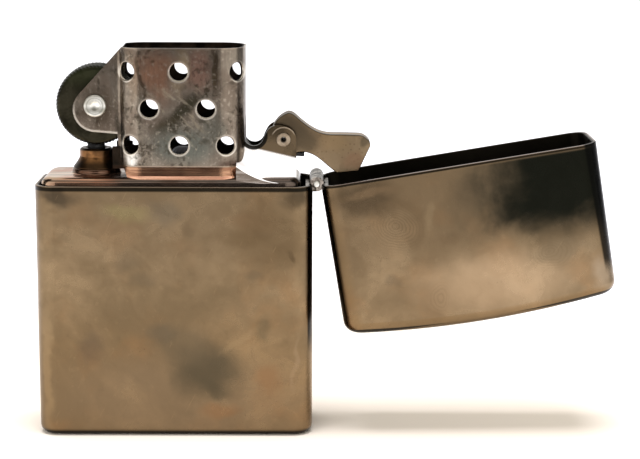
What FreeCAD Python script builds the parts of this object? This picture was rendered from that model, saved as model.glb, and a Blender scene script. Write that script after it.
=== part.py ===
"""Flip-top windproof petrol lighter, stood on its base with the lid swung fully open.

Frame: millimetres, +Z up, +X from the flint wheel towards the lid hinge, -Y towards the viewer of the front.
The origin is the centre of the flat base of the case. Every sub-part is written to parts/NODE.step.
"""

import FreeCAD
import Part
import math
import os

from FreeCAD import Vector

# ---- driving dimensions -------------------------------------------------------------------------
CASE_WIDTH = 38.1
CASE_DEPTH = 13.0
PARTING_Z = 35.2            # height of the joint between case and lid
LID_CROWN = 22.5            # height of the closed lid at the middle of its domed top
LID_CROWN_RISE = 1.3        # how much lower the top is at the two ends
SHELL_WALL = 0.55
FLOOR = 0.6
PLAN_RADIUS = 2.7           # vertical corners of case and lid
BASE_EDGE = 1.2
LID_EDGE = 1.7
CASE_RIM = 35.15            # the two rims stop just short of the parting plane
LID_RIM = 35.4

HINGE_OFFSET = 0.55         # hinge axis outside the case's end wall
HINGE_LENGTH = 8.5
KNUCKLES = 5
KNUCKLE_RADIUS = 1.0
PIN_RADIUS = 0.45
LEAF = 0.42                 # sheet of the hinge leaves
LEAF_REACH = 7.0            # how far each leaf runs down its wall
LID_OPEN = 170.5            # degrees from shut to the open stop

INSERT_LEFT = -18.2
INSERT_RIGHT = 17.4
INSERT_HALF_DEPTH = 5.75
INSERT_BOTTOM = 1.5
DECK_Z = 36.2
DECK_EDGE = 1.1             # rounding of the deck into the tank's sides
INSERT_WALL = 0.4
BOSS_RADIUS = 3.3           # raised ring of the deck round the flint tube
BOSS_Z = 37.0

CHIMNEY_LEFT = -7.6
CHIMNEY_RIGHT = 9.8
CHIMNEY_HALF_DEPTH = 4.95
CHIMNEY_LEFT_RADIUS = 3.3
CHIMNEY_RIGHT_RADIUS = 3.6
CHIMNEY_TOP = 53.85
CHIMNEY_WALL = 0.42
FOOT_REACH = 0.35           # how far the chimney's splayed foot stands out
FOOT_Z = 36.45              # lower edge of the splay
FOOT_RISE = 1.2             # height of the splay
HOLE_RADIUS = 1.22
HOLE_EASE = 0.13

WHEEL_X = -10.72
WHEEL_Z = 45.8
WHEEL_RADIUS = 5.6
WHEEL_WIDTH = 5.0
WHEEL_TEETH = 66
EAR_HALF_GAP = 2.65
EAR_RADIUS = 3.05
EAR_Z = 45.25               # the ear's round sits a little below the wheel's axis

TUBE_X = -11.0
TUBE_TOP = 39.7
TUBE_RADIUS = 1.75
TUBE_BORE = 1.3

CAM_X = 15.02
CAM_Z = 41.12
CAM_HALF_WIDTH = 1.55
CAM_SHEET = 0.45
CAM_TURN = 104.0            # degrees the cam turns while the lid goes from open to shut
CAM_FLAT = 1.87             # distance of both heel flats from the pivot
CAM_FLAT_OPEN = 268.0       # direction, seen from the front, of the flat in use while open
LUG_SHEET = 0.45
LUG_INNER = 1.85
LUG_LEFT = 8.6              # where the lugs' swept foot runs into the chimney's corner
LUG_CREST_Y = 5.66          # outer edge of that foot, on the deck's rounded shoulder
LUG_CREST_Z = 35.6
CAM_AXLE = 0.62

WICK_X = 1.0
WICK_RADIUS = 1.6
WICK_TOP = 39.8

RUNNING = 0.04              # radial clearance of a turning fit

# ---- derived ------------------------------------------------------------------------------------
HALF_WIDTH = CASE_WIDTH / 2
HALF_DEPTH = CASE_DEPTH / 2
HINGE_X = HALF_WIDTH + HINGE_OFFSET
LID_TOP = PARTING_Z + LID_CROWN
EAR_HALF_OUTER = EAR_HALF_GAP + CHIMNEY_WALL
Y = Vector(0, 1, 0)
Z = Vector(0, 0, 1)


# ---- helpers ------------------------------------------------------------------------------------
def rounded_plan(x0, x1, half_depth, radius, z0, z1):
    """An upright prism whose plan is a rectangle with rounded corners."""
    block = Part.makeBox(x1 - x0, 2 * half_depth, z1 - z0, Vector(x0, -half_depth, z0))
    upright = [e for e in block.Edges if abs(e.tangentAt(e.FirstParameter).z) > 0.99]
    return block.makeFillet(radius, upright)


def edges_at(shape, z, slack=1e-3):
    """The edges of a shape that lie in one level plane."""
    return [
        e for e in shape.Edges
        if abs(e.BoundBox.ZMin - z) < slack and abs(e.BoundBox.ZMax - z) < slack
    ]


def prism(edges, y0, y1):
    """Extrudes a closed outline, drawn in the XZ plane, from y0 to y1."""
    face = Part.Face(Part.Wire(Part.__sortEdges__(edges)))
    face.translate(Vector(0, y0, 0))
    return face.extrude(Vector(0, y1 - y0, 0))


def polygon(points, y0, y1):
    """Extrudes a closed polygon of (x, z) points from y0 to y1."""
    ring = [Vector(x, 0, z) for x, z in points]
    return prism(Part.makePolygon(ring + ring[:1]).Edges, y0, y1)


def line(a, b):
    return Part.LineSegment(Vector(a[0], 0, a[1]), Vector(b[0], 0, b[1])).toShape()


def arc(a, middle, b):
    points = [Vector(p[0], 0, p[1]) for p in (a, middle, b)]
    return Part.Arc(*points).toShape()


def curve(points):
    """A smooth curve through (x, z) points."""
    spline = Part.BSplineCurve()
    spline.interpolate([Vector(x, 0, z) for x, z in points])
    return spline


def rod(radius, x, z, y0, y1):
    """A cylinder along Y."""
    return Part.makeCylinder(radius, y1 - y0, Vector(x, y0, z), Y)


def post(radius, x, z0, z1):
    """A cylinder along Z on the centre plane."""
    return Part.makeCylinder(radius, z1 - z0, Vector(x, 0, z0), Z)


def turned(points, x):
    """A solid of revolution about the upright line at x, from (radius, z) points."""
    ring = [Vector(x + r, 0, z) for r, z in points]
    face = Part.Face(Part.makePolygon(ring + ring[:1]))
    return face.revolve(Vector(x, 0, 0), Z, 360)


def coil(radius, wire, pitch, x, z0, z1):
    """A round-wire helix about the upright line at x."""
    path = Part.makeHelix(pitch, z1 - z0 - 2 * wire, radius)
    start = path.Edges[0].valueAt(path.Edges[0].FirstParameter)
    tangent = path.Edges[0].tangentAt(path.Edges[0].FirstParameter)
    section = Part.Wire(Part.Circle(start, tangent, wire).toShape())
    spring = Part.Wire(path.Edges).makePipeShell([section], True, True)
    spring.translate(Vector(x, 0, z0 + wire))
    return spring


def around(angle, radius, centre):
    """The (x, z) point at an angle from +X towards +Z, seen from the front."""
    a = math.radians(angle)
    return centre[0] + radius * math.cos(a), centre[1] + radius * math.sin(a)


def opened(shape):
    """Swings a part of the closed lid round the hinge to its open stop."""
    shape.rotate(Vector(HINGE_X, 0, PARTING_Z), Y, LID_OPEN)
    return shape


# ---- case and lid -------------------------------------------------------------------------------
def hinge_notch(z0, z1):
    """The cut in an end wall that clears the hinge knuckles."""
    half = HINGE_LENGTH / 2 + 0.15
    return Part.makeBox(2.0, 2 * half, z1 - z0, Vector(HALF_WIDTH - 1.0, -half, z0))


def case_body():
    rim = CASE_RIM
    outer = rounded_plan(-HALF_WIDTH, HALF_WIDTH, HALF_DEPTH, PLAN_RADIUS, 0, rim)
    outer = outer.makeFillet(BASE_EDGE, edges_at(outer, 0))
    inside = HALF_WIDTH - SHELL_WALL
    inner = rounded_plan(
        -inside, inside, HALF_DEPTH - SHELL_WALL, PLAN_RADIUS - SHELL_WALL, FLOOR, rim + 1
    )
    inner = inner.makeFillet(BASE_EDGE - SHELL_WALL, edges_at(inner, FLOOR))
    shell = outer.cut(inner)
    shell = shell.makeFillet(0.12, edges_at(shell, rim))
    return shell.cut(hinge_notch(PARTING_Z - KNUCKLE_RADIUS - 0.15, rim + 1))


def domed_prism(inset, bottom):
    """The lid's outline, inset by a wall: rounded plan, arched top, rounded top edge."""
    half = HALF_WIDTH - inset
    crown = LID_TOP - inset
    end = crown - LID_CROWN_RISE
    plan = rounded_plan(
        -half, half, HALF_DEPTH - inset, PLAN_RADIUS - inset, bottom, crown + 1
    )
    front = prism(
        [
            line((-half - 1, bottom), (half + 1, bottom)),
            line((half + 1, bottom), (half + 1, end)),
            line((half + 1, end), (half, end)),
            arc((half, end), (0, crown), (-half, end)),
            line((-half, end), (-half - 1, end)),
            line((-half - 1, end), (-half - 1, bottom)),
        ],
        -HALF_DEPTH,
        HALF_DEPTH,
    )
    block = plan.common(front)
    top = [e for e in block.Edges if e.BoundBox.ZMin > end - 0.3]
    return block.makeFillet(LID_EDGE - inset, top)


def lid_shell():
    rim = LID_RIM
    shell = domed_prism(0, rim).cut(domed_prism(SHELL_WALL, rim - 1))
    shell = shell.makeFillet(0.12, edges_at(shell, rim))
    shell = shell.cut(hinge_notch(rim - 1, PARTING_Z + KNUCKLE_RADIUS + 0.15))
    return opened(shell)


def knuckle(index):
    """One barrel of the hinge, between the y planes of its share of the length."""
    pitch = HINGE_LENGTH / KNUCKLES
    y0 = -HINGE_LENGTH / 2 + index * pitch
    return y0 + 0.04, y0 + pitch - 0.04


def hinge_leaf(indices, side, bore):
    """A leaf inside the end wall, with its knuckles: side is -1 below the parting plane, +1 above."""
    inner_x = HALF_WIDTH - SHELL_WALL - LEAF
    z_near = PARTING_Z + side * (KNUCKLE_RADIUS - LEAF)
    z_far = PARTING_Z + side * LEAF_REACH
    z0, z1 = min(z_near, z_far), max(z_near, z_far)
    half = HALF_DEPTH - PLAN_RADIUS - 0.05
    leaf = Part.makeBox(LEAF, 2 * half, z1 - z0, Vector(inner_x, -half, z0))
    corners = [
        e for e in leaf.Edges
        if abs(e.tangentAt(e.FirstParameter).x) > 0.99
        and abs(e.BoundBox.ZMin - z_far) < 1e-6
    ]
    leaf = leaf.makeFillet(1.0, corners)
    tongue_z = PARTING_Z + side * KNUCKLE_RADIUS
    for i in indices:
        y0, y1 = knuckle(i)
        barrel = rod(KNUCKLE_RADIUS, HINGE_X, PARTING_Z, y0, y1)
        tongue = Part.makeBox(
            HINGE_X - inner_x, y1 - y0, LEAF,
            Vector(inner_x, y0, min(tongue_z, tongue_z - side * LEAF)),
        )
        leaf = leaf.fuse([barrel, tongue])
    return leaf.removeSplitter().cut(
        rod(bore, HINGE_X, PARTING_Z, -HALF_DEPTH, HALF_DEPTH)
    )


def hinge_leaf_case():
    return hinge_leaf(range(0, KNUCKLES, 2), -1, PIN_RADIUS)


def hinge_leaf_lid():
    return opened(hinge_leaf(range(1, KNUCKLES, 2), 1, PIN_RADIUS + RUNNING))


def hinge_pin():
    half = HINGE_LENGTH / 2 + 0.12
    pin = rod(PIN_RADIUS, HINGE_X, PARTING_Z, -half, half)
    return pin.makeChamfer(0.1, [e for e in pin.Edges if e.Closed])


# ---- insert -------------------------------------------------------------------------------------
def tank_outside(bottom):
    """The tank's outer form: rounded plan with the deck rolled over into the sides."""
    block = rounded_plan(
        INSERT_LEFT, INSERT_RIGHT, INSERT_HALF_DEPTH, PLAN_RADIUS - SHELL_WALL, bottom, DECK_Z
    )
    return block.makeFillet(DECK_EDGE, edges_at(block, DECK_Z))


def insert_tank():
    """Fuel tank and deck in one drawn piece, open at the bottom, with a ring round the tube."""
    outer = tank_outside(INSERT_BOTTOM)
    boss = post(BOSS_RADIUS, TUBE_X, DECK_Z - INSERT_WALL, BOSS_Z)
    boss = boss.makeFillet(0.35, edges_at(boss, BOSS_Z))
    radius = PLAN_RADIUS - SHELL_WALL - INSERT_WALL
    inner = rounded_plan(
        INSERT_LEFT + INSERT_WALL, INSERT_RIGHT - INSERT_WALL,
        INSERT_HALF_DEPTH - INSERT_WALL, radius, INSERT_BOTTOM - 1, DECK_Z - INSERT_WALL,
    )
    inner = inner.makeFillet(DECK_EDGE - INSERT_WALL, edges_at(inner, DECK_Z - INSERT_WALL))
    tank = outer.cut(inner).fuse(boss).removeSplitter()
    root = [e for e in edges_at(tank, DECK_Z) if e.Closed]
    tank = tank.makeFillet(0.35, root)
    tank = tank.cut(post(TUBE_RADIUS, TUBE_X, DECK_Z - 2, BOSS_Z + 1))
    return tank.cut(post(WICK_RADIUS + 0.5, WICK_X, DECK_Z - 2, DECK_Z + 1))


def chimney_body(inset, z0, z1):
    """The windscreen's main outline in plan, inset by its sheet: tight left end, rounder right end."""
    half = CHIMNEY_HALF_DEPTH - inset
    left, right = CHIMNEY_LEFT + inset, CHIMNEY_RIGHT - inset
    body = Part.makeBox(right - left, 2 * half, z1 - z0, Vector(left, -half, z0))
    ends = ((CHIMNEY_RIGHT_RADIUS - inset, right), (CHIMNEY_LEFT_RADIUS - inset, left))
    for radius, x in ends:
        upright = [
            e for e in body.Edges
            if abs(e.tangentAt(e.FirstParameter).z) > 0.99 and abs(e.BoundBox.XMin - x) < 1e-3
        ]
        body = body.makeFillet(radius, upright)
    return body


def chimney_side():
    """The side view that the wrapped sheet is cut to: body, slanted shoulder and round ear."""
    centre = (WHEEL_X, EAR_Z)
    shoulder = (CHIMNEY_LEFT + 0.6, CHIMNEY_TOP)
    reach = math.dist(shoulder, centre)
    tangent = math.degrees(
        math.atan2(shoulder[1] - centre[1], shoulder[0] - centre[0])
        + math.acos(EAR_RADIUS / reach)
    )
    ear_bottom = around(270, EAR_RADIUS, centre)
    corner = (CHIMNEY_LEFT - 0.1, ear_bottom[1] - 0.25)
    foot = (CHIMNEY_LEFT + 1.3, DECK_Z)
    below = DECK_Z - DECK_EDGE
    outline = [
        line(shoulder, around(tangent, EAR_RADIUS, centre)),
        arc(around(tangent, EAR_RADIUS, centre), around(200, EAR_RADIUS, centre), ear_bottom),
        line(ear_bottom, corner),
        arc(corner, (CHIMNEY_LEFT + 0.25, DECK_Z + 2.9), foot),
        line(foot, (foot[0], below)),
        line((foot[0], below), (CHIMNEY_RIGHT + 2, below)),
        line((CHIMNEY_RIGHT + 2, below), (CHIMNEY_RIGHT + 2, CHIMNEY_TOP)),
        line((CHIMNEY_RIGHT + 2, CHIMNEY_TOP), shoulder),
    ]
    return prism(outline, -HALF_DEPTH, HALF_DEPTH)


def draught_holes():
    """Rows of three, two and three holes through both faces: where each opens, and which way."""
    middle = 0.8
    rows = [
        (DECK_Z + 14.45, (-7.15, 0.05, 8.05)),
        (DECK_Z + 9.45, (-4.0, 3.72)),
        (DECK_Z + 4.42, (-6.75, 0.05, 6.45)),
    ]
    return [
        draught_hole(middle + offset, z, side)
        for z, offsets in rows for offset in offsets for side in (-1, 1)
    ]


def draught_hole(x, z, side):
    """The point where a hole opens and the direction square to the sheet there."""
    left, right = CHIMNEY_LEFT + CHIMNEY_LEFT_RADIUS, CHIMNEY_RIGHT - CHIMNEY_RIGHT_RADIUS
    lean, depth = 0.0, CHIMNEY_HALF_DEPTH
    for start, radius in ((left, -CHIMNEY_LEFT_RADIUS), (right, CHIMNEY_RIGHT_RADIUS)):
        if (x - start) * radius > 0:
            lean = math.copysign(math.asin((x - start) / radius), radius)
            depth = CHIMNEY_HALF_DEPTH - abs(radius) * (1 - math.cos(lean))
    return Vector(x, side * depth, z), Vector(math.sin(lean), side * math.cos(lean), 0)


def rim_of_hole(edge, opening, outward):
    """Whether an edge is part of a draught hole's outer rim."""
    axial = []
    for point in edge.discretize(7):
        reach = point - opening
        axial.append(reach.dot(outward))
        if abs((reach - outward * axial[-1]).Length - HOLE_RADIUS) > 1e-3:
            return False
    return sum(axial) / len(axial) > -0.33


def pierced(sheet):
    """Punches the draught holes square to the sheet and rolls over their outer edges."""
    holes = draught_holes()
    sheet = sheet.cut([
        Part.makeCylinder(HOLE_RADIUS, 2.0, opening - outward * 1.2, outward)
        for opening, outward in holes
    ])
    rims = [
        edge for edge in sheet.Edges
        if any(rim_of_hole(edge, opening, outward) for opening, outward in holes)
    ]
    return sheet.makeFillet(HOLE_EASE, rims)


def chimney_foot(body):
    """Adds the splay that runs round the chimney where it beds on the deck."""
    bottom = DECK_Z - DECK_EDGE
    plate = Part.makeBox(
        CHIMNEY_RIGHT - CHIMNEY_LEFT + 2 * FOOT_REACH, 2 * (CHIMNEY_HALF_DEPTH + FOOT_REACH),
        FOOT_Z - bottom,
        Vector(CHIMNEY_LEFT - FOOT_REACH, -CHIMNEY_HALF_DEPTH - FOOT_REACH, bottom),
    )
    upright = [e for e in plate.Edges if abs(e.tangentAt(e.FirstParameter).z) > 0.99]
    joined = body.fuse(plate.makeFillet(CHIMNEY_RIGHT_RADIUS, upright)).removeSplitter()
    root = [
        e for e in edges_at(joined, FOOT_Z)
        if e.BoundBox.XMax < CHIMNEY_RIGHT + 0.01 and e.BoundBox.XMin > CHIMNEY_LEFT - 0.01
        and e.BoundBox.YMax < CHIMNEY_HALF_DEPTH + 0.01
        and e.BoundBox.YMin > -CHIMNEY_HALF_DEPTH - 0.01
    ]
    return joined.makeChamfer(FOOT_RISE, FOOT_REACH - 0.03, root)


def ear_stay(side):
    """A small upright tab below each ear, turned in from the chimney's corner beside the flint tube."""
    z0, z1 = BOSS_Z + 0.15, DECK_Z + 4.0
    inner = EAR_HALF_GAP if side > 0 else -EAR_HALF_OUTER
    plate = Part.makeBox(
        2.25, CHIMNEY_WALL, z1 - z0, Vector(CHIMNEY_LEFT - 0.85, inner, z0)
    )
    bend = Part.makeBox(0.8, 1.0, 1.4, Vector(CHIMNEY_LEFT + 0.15, side * 3.1 - 0.5, z1 - 1.4))
    return plate.fuse(bend.common(chimney_body(0.02, z0, z1)))


def chimney():
    """Windscreen: one sheet wrapped round the wick, its two ends left as the wheel's ears."""
    outer = chimney_foot(chimney_body(0, DECK_Z, CHIMNEY_TOP))
    outer = outer.cut(tank_outside(INSERT_BOTTOM))
    half = EAR_HALF_OUTER
    ear_z = DECK_Z + 2.5
    ears = Part.makeBox(10, 2 * half, CHIMNEY_TOP - ear_z, Vector(CHIMNEY_LEFT - 8.5, -half, ear_z))
    outer = outer.fuse(ears).removeSplitter()
    inward = [
        e for e in outer.Edges
        if abs(e.tangentAt(e.FirstParameter).z) > 0.99
        and abs(abs(e.BoundBox.YMin) - half) < 1e-3
        and CHIMNEY_LEFT - 1 < e.BoundBox.XMin < CHIMNEY_LEFT + 1.5
    ]
    outer = outer.makeFillet(0.5, inward)
    inner = chimney_body(CHIMNEY_WALL, DECK_Z - 1, CHIMNEY_TOP + 1)
    gap = Part.makeBox(
        14, 2 * EAR_HALF_GAP, CHIMNEY_TOP, Vector(CHIMNEY_LEFT - 12, -EAR_HALF_GAP, DECK_Z - 1)
    )
    sheet = outer.cut([inner, gap]).common(chimney_side())
    sheet = sheet.fuse([ear_stay(side) for side in (-1, 1)]).removeSplitter()
    slot_half = LUG_INNER - 0.1
    slot = Part.makeBox(
        4, 2 * slot_half, 7.5, Vector(CHIMNEY_RIGHT - 2, -slot_half, DECK_Z - 1.1)
    )
    arch = Part.makeCylinder(
        slot_half, 4, Vector(CHIMNEY_RIGHT - 2, 0, DECK_Z + 6.4), Vector(1, 0, 0)
    )
    axle = rod(0.9, WHEEL_X, WHEEL_Z, -HALF_DEPTH, HALF_DEPTH)
    return pierced(sheet.cut([slot, arch, axle]))


# ---- flint wheel, flint and its feed ------------------------------------------------------------
def flint_wheel():
    """A file wheel: V teeth all round, eased sides and a bore for the rivet."""
    points = []
    for i in range(2 * WHEEL_TEETH):
        radius = WHEEL_RADIUS if i % 2 == 0 else WHEEL_RADIUS - 0.24
        points.append(around(180 * i / WHEEL_TEETH, radius, (WHEEL_X, WHEEL_Z)))
    half = WHEEL_WIDTH / 2
    wheel = polygon(points, -half, half)
    ease = 0.45
    ends = Part.Face(Part.makePolygon([
        Vector(WHEEL_X, -half, WHEEL_Z),
        Vector(WHEEL_X + WHEEL_RADIUS - ease, -half, WHEEL_Z),
        Vector(WHEEL_X + WHEEL_RADIUS, -half + ease, WHEEL_Z),
        Vector(WHEEL_X + WHEEL_RADIUS, half - ease, WHEEL_Z),
        Vector(WHEEL_X + WHEEL_RADIUS - ease, half, WHEEL_Z),
        Vector(WHEEL_X, half, WHEEL_Z),
        Vector(WHEEL_X, -half, WHEEL_Z),
    ])).revolve(Vector(WHEEL_X, 0, WHEEL_Z), Y, 360)
    return wheel.common(ends).cut(rod(0.9 + RUNNING, WHEEL_X, WHEEL_Z, -4, 4))


def rivet(radius, head_radius, head, half, x, z, bore):
    """A rivet along Y with a rounded head outside each face at y = -half and +half."""
    body = rod(radius, x, z, -half - head, half + head)
    for y0 in (-half - head, half):
        body = body.fuse(rod(head_radius, x, z, y0, y0 + head))
    body = body.removeSplitter()
    rims = [
        e for e in body.Edges
        if e.Closed and abs(abs(e.BoundBox.YMin) - half - head) < 1e-6
    ]
    body = body.makeFillet(head * 0.6, rims)
    for side in (-1, 1):
        dish = Part.makeSphere(2 * bore, Vector(x, side * (half + head + 1.8 * bore), z))
        body = body.cut(dish)
    return body


def wheel_rivet():
    return rivet(0.9, 1.55, 0.45, EAR_HALF_OUTER, WHEEL_X, WHEEL_Z, 0.75)


def flint_tube():
    """Brass tube through the tank, with a flared collar on the deck."""
    base, neck, rise = BOSS_RADIUS - 0.15, 2.28, 1.4
    bell = [
        (neck + (base - neck) * (1 - i / 5) ** 1.3, BOSS_Z + 0.12 + rise * i / 5) for i in range(6)
    ]
    profile = [
        (TUBE_BORE, INSERT_BOTTOM + 1.0), (TUBE_RADIUS, INSERT_BOTTOM + 1.0),
        (TUBE_RADIUS, BOSS_Z), (base, BOSS_Z), *bell, (neck, TUBE_TOP - 0.25),
        (neck - 0.25, TUBE_TOP), (TUBE_BORE + 0.2, TUBE_TOP), (TUBE_BORE, TUBE_TOP - 0.2),
    ]
    return turned(profile, TUBE_X)


def flint():
    top = WHEEL_Z - WHEEL_RADIUS - 0.04
    return post(TUBE_BORE - 0.1, TUBE_X, top - 5.0, top)


def flint_spring_tip():
    top = WHEEL_Z - WHEEL_RADIUS - 5.06
    tip = post(TUBE_BORE - 0.12, TUBE_X, top - 1.6, top)
    stem = post(0.55, TUBE_X, top - 3.4, top - 1.6)
    return tip.fuse(stem).removeSplitter()


def flint_spring():
    top = WHEEL_Z - WHEEL_RADIUS - 6.7
    return coil(0.92, 0.18, 1.4, TUBE_X, INSERT_BOTTOM + 5.05, top)


def flint_screw():
    """Slotted screw that closes the foot of the tube and carries the spring."""
    z0 = INSERT_BOTTOM + 0.1
    profile = [
        (0, z0), (2.1, z0), (2.3, z0 + 0.2), (2.3, z0 + 0.86), (TUBE_BORE - RUNNING, z0 + 0.86),
        (TUBE_BORE - RUNNING, z0 + 4.6), (1.0, z0 + 4.9), (0, z0 + 4.9),
    ]
    slot = Part.makeBox(5, 0.5, 0.5, Vector(TUBE_X - 2.5, -0.25, z0 - 0.1))
    return turned(profile, TUBE_X).cut(slot)


# ---- cam and its spring -------------------------------------------------------------------------
def heel_corner():
    """Where the cam's two heel flats would meet, and the ends of the round that eases them."""
    centre = (CAM_X, CAM_Z)
    half = CAM_TURN / 2
    ease = 0.8
    middle = CAM_FLAT_OPEN - half
    heart = around(middle, (CAM_FLAT - ease) / math.cos(math.radians(half)), centre)
    return (
        around(CAM_FLAT_OPEN, ease, heart),
        around(middle, ease, heart),
        around(CAM_FLAT_OPEN - CAM_TURN, ease, heart),
    )


def on_flat(direction, distance, reach):
    """A point on the line square to a direction from the cam's pivot, reach along that line."""
    start = around(direction, distance, (CAM_X, CAM_Z))
    return around(direction + 90, reach, start)


def cam_outline():
    """Side view of the cam at rest: heel flats, round head, waisted neck and broad tail."""
    flat_open, nose, flat_shut = heel_corner()
    foot = on_flat(CAM_FLAT_OPEN, CAM_FLAT, 1.9)
    brow = on_flat(CAM_FLAT_OPEN - CAM_TURN, CAM_FLAT, -1.35)
    crown = (CAM_X + 0.55, CAM_Z + 3.58)
    toe = (CAM_X + 10.38, CAM_Z - 4.45)
    heel = (CAM_X + 7.4, CAM_Z - 4.75)
    back = [
        (1.3, 3.42), (1.86, 2.98), (4.0, 1.34), (5.4, 0.74), (7.7, 0.58), (9.9, 0.54),
        (10.9, 0.42), (11.55, 0.0), (11.93, -0.5),
    ]
    belly = [(5.62, -3.33), (4.1, -2.24), (3.1, -1.88)]
    tip = (CAM_X + 11.98, CAM_Z - 1.0)
    return [
        line(foot, flat_open),
        arc(flat_open, nose, flat_shut),
        line(flat_shut, brow),
        arc(brow, (CAM_X - 0.72, CAM_Z + 2.78), crown),
        curve([crown] + [(CAM_X + x, CAM_Z + z) for x, z in back] + [tip]).toShape(),
        line(tip, toe),
        line(toe, heel),
        curve([heel] + [(CAM_X + x, CAM_Z + z) for x, z in belly] + [foot]).toShape(),
    ]


def cam_lever():
    """Folded channel: two cheeks joined over the head and along the back."""
    block = prism(cam_outline(), -CAM_HALF_WIDTH, CAM_HALF_WIDTH)
    block = block.makeFillet(0.12, [e for e in block.Edges if e.BoundBox.YLength < 1e-6])
    half = CAM_HALF_WIDTH - CAM_SHEET
    hollow = prism(cam_outline(), -half, half)
    hollow.translate(Vector(0.3, 0, -CAM_SHEET))
    more = prism(cam_outline(), -half, half)
    more.translate(Vector(0.6, 0, -2 * CAM_SHEET))
    bore = rod(CAM_AXLE + RUNNING, CAM_X, CAM_Z, -4, 4)
    return block.cut([hollow, more, bore])


def lug_section(x, inset):
    """YZ section under one lug: upright sheet, concave sweep to a crest, skirt to the deck."""
    bend = CAM_Z - 1.41 - 0.233 * (x - CAM_X + 2.96) - 0.5 * inset
    crest_y = LUG_CREST_Y - inset - 0.08 * max(0, CAM_X - 4 - x)
    crest_z = LUG_CREST_Z + 0.055 * max(0, CAM_X - x) ** 2 - inset
    face = LUG_INNER + LUG_SHEET - inset
    top, bottom = CAM_Z + 4, DECK_Z - DECK_EDGE - 0.5 * inset
    sweep = []
    for i in range(7):
        a = math.radians(180 + 15 * i)
        sweep.append(Vector(
            x, crest_y + (crest_y - face) * math.cos(a), bend + (bend - crest_z) * math.sin(a)
        ))
    concave = Part.BSplineCurve()
    concave.interpolate(sweep)
    corners = [
        Vector(x, crest_y, crest_z), Vector(x, crest_y, bottom), Vector(x, 0, bottom),
        Vector(x, 0, top), Vector(x, face, top), Vector(x, face, bend),
    ]
    sides = [Part.LineSegment(a, b).toShape() for a, b in zip(corners, corners[1:])]
    return Part.Wire(Part.__sortEdges__(sides + [concave.toShape()]))


def lug_block(inset):
    stations = [LUG_LEFT - 0.5, LUG_LEFT + 1.2, LUG_LEFT + 3.0, CAM_X - 1.6, CAM_X + 2.0]
    return Part.makeLoft([lug_section(x, inset) for x in stations], True, False)


def cam_lug(side):
    """One of the two lugs that carry the cam, its foot swept out over the deck to the chimney."""
    sheet = lug_block(0).cut(lug_block(LUG_SHEET))
    left, right = CAM_X - 3.0, CAM_X + 1.75
    low = DECK_Z - DECK_EDGE - 1
    saddle = (CAM_X - 4.1, CAM_Z + 0.5)
    side_view = prism([
        line((right, low), (right, CAM_Z + 0.35)),
        arc((right, CAM_Z + 0.35), (CAM_X + 1.2, CAM_Z + 1.3), (CAM_X, CAM_Z + 1.86)),
        arc((CAM_X, CAM_Z + 1.86), (CAM_X - 1.5, CAM_Z + 1.85), (left + 0.55, CAM_Z + 0.85)),
        line((left + 0.55, CAM_Z + 0.85), around(-10, 1.38, saddle)),
        arc(around(-10, 1.38, saddle), around(-80, 1.38, saddle), around(-145, 1.38, saddle)),
        line(around(-145, 1.38, saddle), (LUG_LEFT, CAM_Z + 0.9)),
        line((LUG_LEFT, CAM_Z + 0.9), (LUG_LEFT, low)),
        line((LUG_LEFT, low), (right, low)),
    ], 0, HALF_DEPTH)
    neighbour = chimney_foot(chimney_body(0, DECK_Z, CHIMNEY_TOP))
    lug = sheet.common(side_view).cut([
        neighbour, tank_outside(INSERT_BOTTOM), rod(CAM_AXLE, CAM_X, CAM_Z, 0, HALF_DEPTH)
    ])
    lug = max(lug.Solids, key=lambda solid: solid.Volume)
    if side < 0:
        lug = lug.mirror(Vector(0, 0, 0), Y)
    return lug


def cam_rivet():
    half = LUG_INNER + LUG_SHEET
    body = rivet(CAM_AXLE, CAM_AXLE + 0.38, 0.22, half, CAM_X, CAM_Z, 0.3)
    return body.cut(rod(0.36, CAM_X, CAM_Z, -HALF_DEPTH, HALF_DEPTH))


def ribbon(points, thickness, half_width):
    """A strip of spring steel whose middle follows (x, z) points, as wide as 2 x half_width."""
    middle = curve(points)
    steps = 24
    near, far = [], []
    for i in range(steps + 1):
        t = middle.FirstParameter + (middle.LastParameter - middle.FirstParameter) * i / steps
        p, d = middle.value(t), middle.tangent(t)[0]
        normal = Vector(-d.z, 0, d.x).multiply(thickness / 2)
        near.append(p.add(normal))
        far.append(p.sub(normal))
    sides = []
    for row in (near, far):
        spline = Part.BSplineCurve()
        spline.interpolate(row)
        sides.append(spline.toShape())
    caps = [Part.LineSegment(near[i], far[i]).toShape() for i in (0, -1)]
    return prism(sides + caps, -half_width, half_width)


def cam_spring():
    """Leaf spring: fixed inside the chimney's end wall, out through its slot and under the heel."""
    thickness = 0.42
    gap = CAM_FLAT + 0.06 + thickness / 2
    under = [on_flat(CAM_FLAT_OPEN, gap, reach) for reach in (-2.2, -0.8, 0.6, 1.8, 2.95)]
    wall_x = CHIMNEY_RIGHT - CHIMNEY_WALL - thickness / 2 - 0.15
    path = [
        (wall_x, DECK_Z + 13.0), (wall_x, DECK_Z + 11.0), (wall_x, DECK_Z + 9.0),
        (wall_x + 0.12, DECK_Z + 6.7), (wall_x + 0.5, DECK_Z + 4.75), (CAM_X - 4.6, DECK_Z + 3.5),
        (CAM_X - 3.7, DECK_Z + 3.0),
    ] + under
    return ribbon(path, thickness, CAM_HALF_WIDTH - 0.1)


# ---- wick and packing ---------------------------------------------------------------------------
def wick():
    cord = post(WICK_RADIUS, WICK_X, INSERT_BOTTOM + 8, WICK_TOP)
    return cord.makeFillet(0.5, [e for e in cord.Edges if e.Closed])


def wick_wire():
    return coil(WICK_RADIUS + 0.14, 0.12, 3.2, WICK_X, DECK_Z - 8, WICK_TOP - 0.6)


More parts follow.
